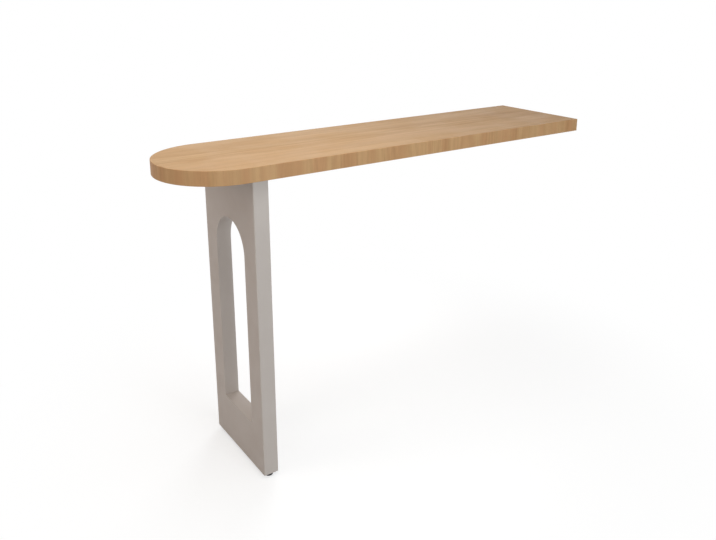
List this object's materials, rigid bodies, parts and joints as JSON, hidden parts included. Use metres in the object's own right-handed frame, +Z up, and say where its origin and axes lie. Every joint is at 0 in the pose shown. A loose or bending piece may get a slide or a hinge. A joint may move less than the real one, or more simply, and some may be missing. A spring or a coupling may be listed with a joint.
{
  "type": "pub table",
  "caption": "Bar-height table with a round-ended laminated top that fixes to a wall, on an arched sheet-steel slab leg with screw-adjusted levelling feet.",
  "frame": {"origin": "on the floor, under the middle of the table's length and width", "axes": "+X along the table from its round end to its wall end, +Y from the front edge to the back edge, +Z up"},
  "size_m": [1.5998, 0.4, 1.05],
  "materials": {
    "face_decor": "light oak decor laminate, grain along the table, satin",
    "edge_decor": "light oak decor lipping, grain upright, satin",
    "end_decor": "light oak decor lipping, grain upright, satin",
    "core_board": "raw wood-based board",
    "backer": "plain beige balancing laminate, matt",
    "leg_paint": "grey-beige powder coat, satin",
    "zinc_steel": "bright zinc plate",
    "insert_brass": "plain turned brass",
    "black_nylon": "black moulded nylon"
  },
  "bodies": {
    "table": {"face_laminate": "face_decor", "upper_core_board": "core_board", "lower_core_board": "core_board", "backer_laminate": "backer", "edge_band": "edge_decor", "end_band": "end_decor", "leg_shell": "leg_paint", "leg_back_sheet": "leg_paint", "arch_liner": "leg_paint", "sill_liner": "leg_paint", "head_plate": "leg_paint", "foot_plate": "leg_paint", "leveller_nuts": "zinc_steel", "leg_inserts": "insert_brass", "leg_screws": "zinc_steel", "wall_angle": "leg_paint", "wall_angle_screws": "zinc_steel"},
    "front_pad": {"front_foot_base": "black_nylon"},
    "front_stud": {"front_foot_stud": "zinc_steel"},
    "rear_pad": {"rear_foot_base": "black_nylon"},
    "rear_stud": {"rear_foot_stud": "zinc_steel"}
  },
  "joints": [
    {"name": "front_foot_travel", "type": "slide", "parent": "table", "child": "front_pad", "axis": [0, 0, -1], "range_m": [-0.00145, 0.0105]},
    {"name": "front_stud_turn", "type": "hinge", "parent": "front_pad", "child": "front_stud", "pos_m": [-0.55, -0.16, 0.02], "axis": [0, 0, -1], "range_deg": [-400, 2880]},
    {"name": "rear_foot_travel", "type": "slide", "parent": "table", "child": "rear_pad", "axis": [0, 0, -1], "range_m": [-0.00145, 0.0105]},
    {"name": "rear_stud_turn", "type": "hinge", "parent": "rear_pad", "child": "rear_stud", "pos_m": [-0.55, 0.16, 0.02], "axis": [0, 0, -1], "range_deg": [-400, 2880]}
  ],
  "couplings": [
    {"joint": "front_foot_travel", "follows": "front_stud_turn", "m_per_rad": 0.00019894},
    {"joint": "rear_foot_travel", "follows": "rear_stud_turn", "m_per_rad": 0.00019894}
  ]
}
